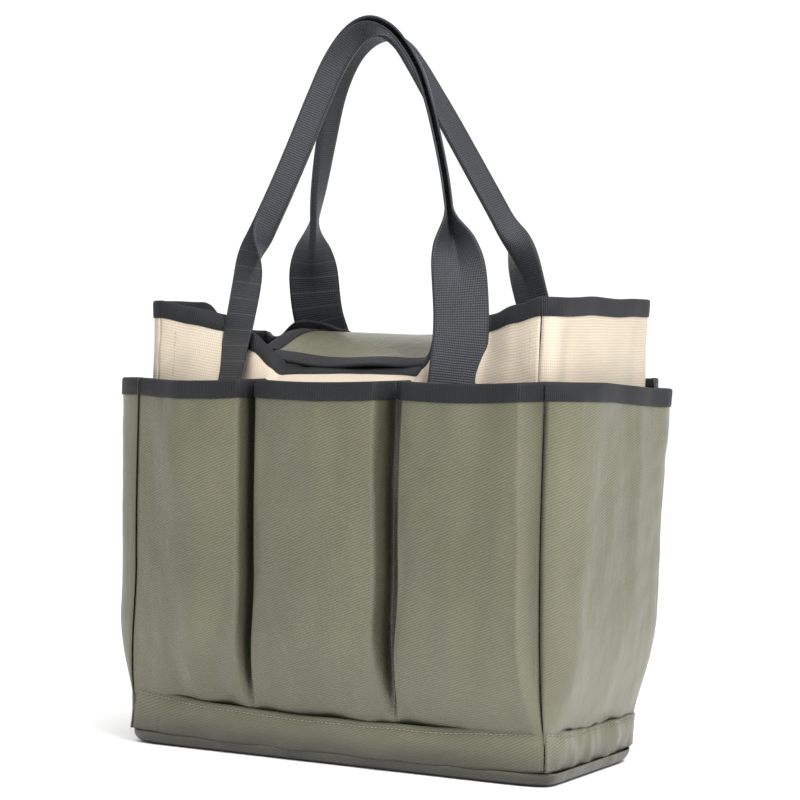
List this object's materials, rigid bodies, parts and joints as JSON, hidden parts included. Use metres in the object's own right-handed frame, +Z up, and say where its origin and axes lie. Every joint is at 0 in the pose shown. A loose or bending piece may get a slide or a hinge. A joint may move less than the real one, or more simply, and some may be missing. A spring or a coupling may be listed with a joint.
{
  "type": "garden tool bag",
  "caption": "Open-top garden tote with an olive pocket skirt all round, pale upper body, dark bound rim, a short closing flap and two webbing handles folded at the grip.",
  "frame": {"origin": "middle of the bag's underside, on the surface it stands on", "axes": "+Z up, front pocket side faces -Y, +X to the right seen from the front"},
  "size_m": [0.3902, 0.2008, 0.5311],
  "materials": {
    "olive_cloth": "coated twill cloth with a soft satin sheen",
    "beige_cloth": "finely ribbed plain cloth, matt",
    "black_tape": "ribbed binding tape",
    "webbing": "woven polypropylene webbing",
    "stiffener": "matt sheet"
  },
  "bodies": {
    "bag": {"front_panel": "beige_cloth", "back_panel": "beige_cloth", "left_gusset": "beige_cloth", "right_gusset": "beige_cloth", "rim_binding": "black_tape", "inner_seam_tapes": "black_tape", "front_pocket_panel": "olive_cloth", "back_pocket_panel": "olive_cloth", "left_side_pocket": "olive_cloth", "right_side_pocket": "olive_cloth", "front_pocket_binding": "black_tape", "back_pocket_binding": "black_tape", "left_pocket_binding": "black_tape", "right_pocket_binding": "black_tape", "front_base_band": "olive_cloth", "back_base_band": "olive_cloth", "left_base_band": "olive_cloth", "right_base_band": "olive_cloth", "bottom_panel": "olive_cloth", "base_board": "stiffener", "front_handle_ends": "webbing", "back_handle_ends": "webbing"},
    "flap": {"flap": "olive_cloth", "flap_binding": "black_tape"},
    "front_handle": {"front_handle": "webbing"},
    "back_handle": {"back_handle": "webbing"}
  },
  "joints": [
    {"name": "front_handle_swing", "type": "hinge", "parent": "bag", "child": "front_handle", "pos_m": [0, -0.0638, 0.316], "axis": [1, 0, 0], "range_deg": [0, 130]},
    {"name": "back_handle_swing", "type": "hinge", "parent": "bag", "child": "back_handle", "pos_m": [0, 0.0492, 0.316], "axis": [-1, 0, 0], "range_deg": [0, 112]},
    {"name": "flap_lift", "type": "hinge", "parent": "bag", "child": "flap", "pos_m": [0, 0.0226, 0.3046], "axis": [-1, 0, 0], "range_deg": [0, 90]}
  ]
}
